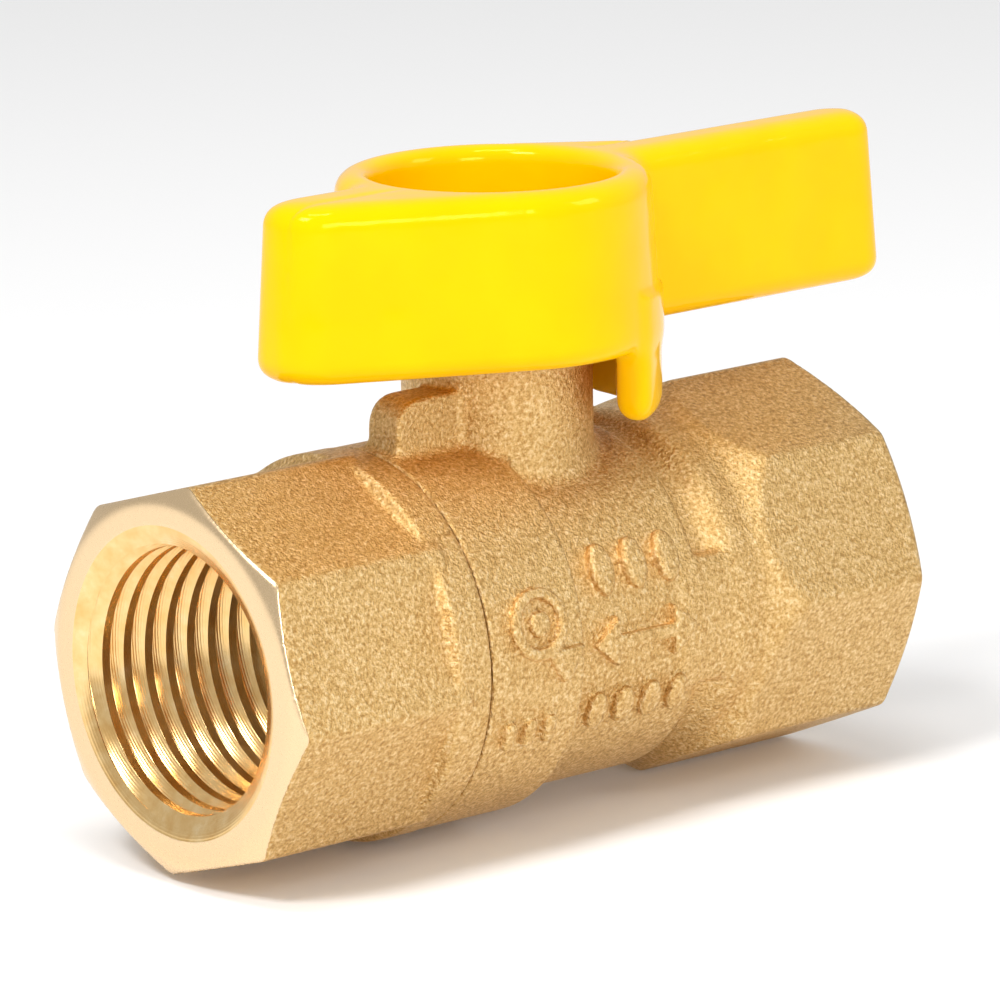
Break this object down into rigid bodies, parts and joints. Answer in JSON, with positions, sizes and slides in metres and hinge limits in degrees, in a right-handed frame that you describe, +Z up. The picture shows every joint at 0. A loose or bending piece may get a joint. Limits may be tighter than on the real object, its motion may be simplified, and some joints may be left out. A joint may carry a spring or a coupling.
{
  "type": "gas valve",
  "caption": "Brass gas ball valve with female pipe-threaded octagonal ends and a quarter-turn offset wing handle, yellow coated, shown open.",
  "frame": {"origin": "centre of the ball, where the pipe axis meets the stem axis", "axes": "+X along the pipe from the end connector to the body's own threaded end, +Z up along the stem, the handle's long wing towards +X when open"},
  "size_m": [0.0649, 0.0282, 0.0457],
  "materials": {
    "forged_brass": "shot-blasted forging, fine bright grain, turned faces",
    "turned_brass": "turned, bright",
    "chrome_plate": "polished plate",
    "ptfe": "waxy white",
    "black_rubber": "satin",
    "die_cast": "as cast",
    "yellow_vinyl": "thick glossy dip coating",
    "plated_steel": "zinc plated"
  },
  "bodies": {
    "valve_body": {"body": "forged_brass", "end_connector": "forged_brass", "body_joint_seal": "ptfe", "seat_ring_near": "ptfe", "seat_ring_far": "ptfe", "stem_packing": "ptfe", "packing_gland": "turned_brass"},
    "handle": {"stem": "turned_brass", "stem_thrust_washer": "ptfe", "stem_o_ring": "black_rubber", "handle_core": "die_cast", "handle_coating": "yellow_vinyl", "handle_washer": "plated_steel", "handle_lock_washer": "plated_steel", "handle_nut": "plated_steel"},
    "ball": {"ball": "chrome_plate"}
  },
  "joints": [
    {"name": "handle_turn", "type": "hinge", "parent": "valve_body", "child": "handle", "pos_m": [0, 0, 0], "axis": [0, 0, 1], "range_deg": [-90, 0]},
    {"name": "ball_turn", "type": "hinge", "parent": "valve_body", "child": "ball", "pos_m": [0, 0, 0], "axis": [0, 0, 1], "range_deg": [-90, 0]}
  ],
  "couplings": [
    {"joint": "ball_turn", "follows": "handle_turn", "ratio": 1}
  ]
}
